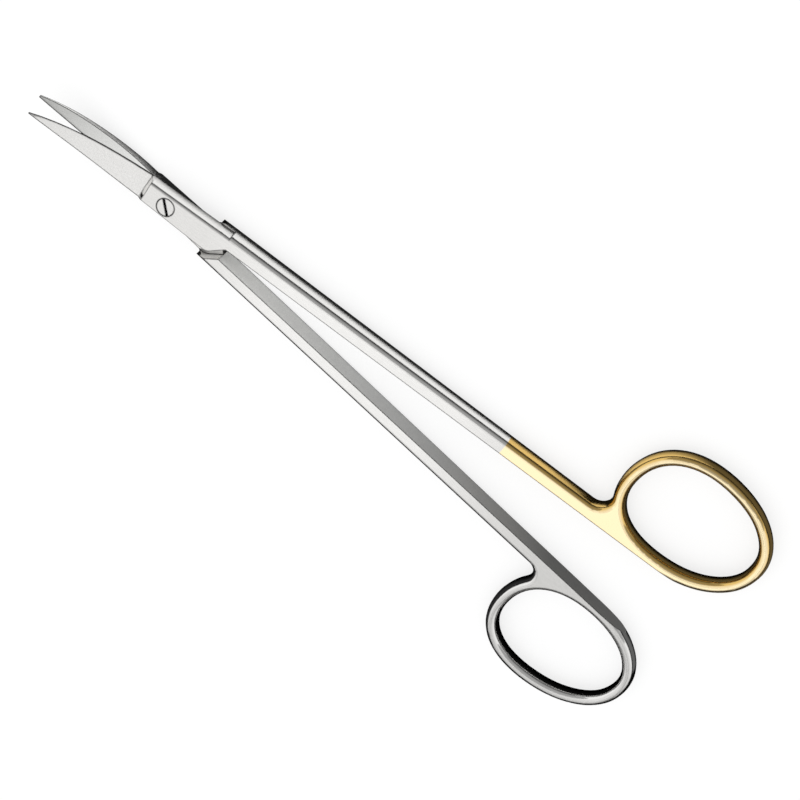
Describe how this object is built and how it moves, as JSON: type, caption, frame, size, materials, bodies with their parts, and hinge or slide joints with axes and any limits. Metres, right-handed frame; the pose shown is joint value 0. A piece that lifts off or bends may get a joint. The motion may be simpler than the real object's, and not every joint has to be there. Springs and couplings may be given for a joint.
{
  "type": "surgical scissors",
  "caption": "Surgical scissors with slender curved blades, a flush screw joint, long shanks and oval finger rings.",
  "frame": {"origin": "on the pivot axis, at the underside of the joint, where the screw's threaded end is flush", "axes": "+X from the pivot towards the finger rings, midway between the halves; +Z along the pivot axis, towards the screw's slotted head"},
  "size_m": [0.1589, 0.0652, 0.0069],
  "materials": {
    "ground_steel": "satin",
    "screw_steel": "satin"
  },
  "bodies": {
    "back_side": {"back_half": "ground_steel", "pivot_screw": "screw_steel"},
    "front_side": {"front_half": "ground_steel"}
  },
  "joints": [
    {"name": "pivot", "type": "hinge", "parent": "back_side", "child": "front_side", "pos_m": [0, 0, 0.0024], "axis": [0, 0, 1], "range_deg": [-7.5, 82.5]}
  ]
}
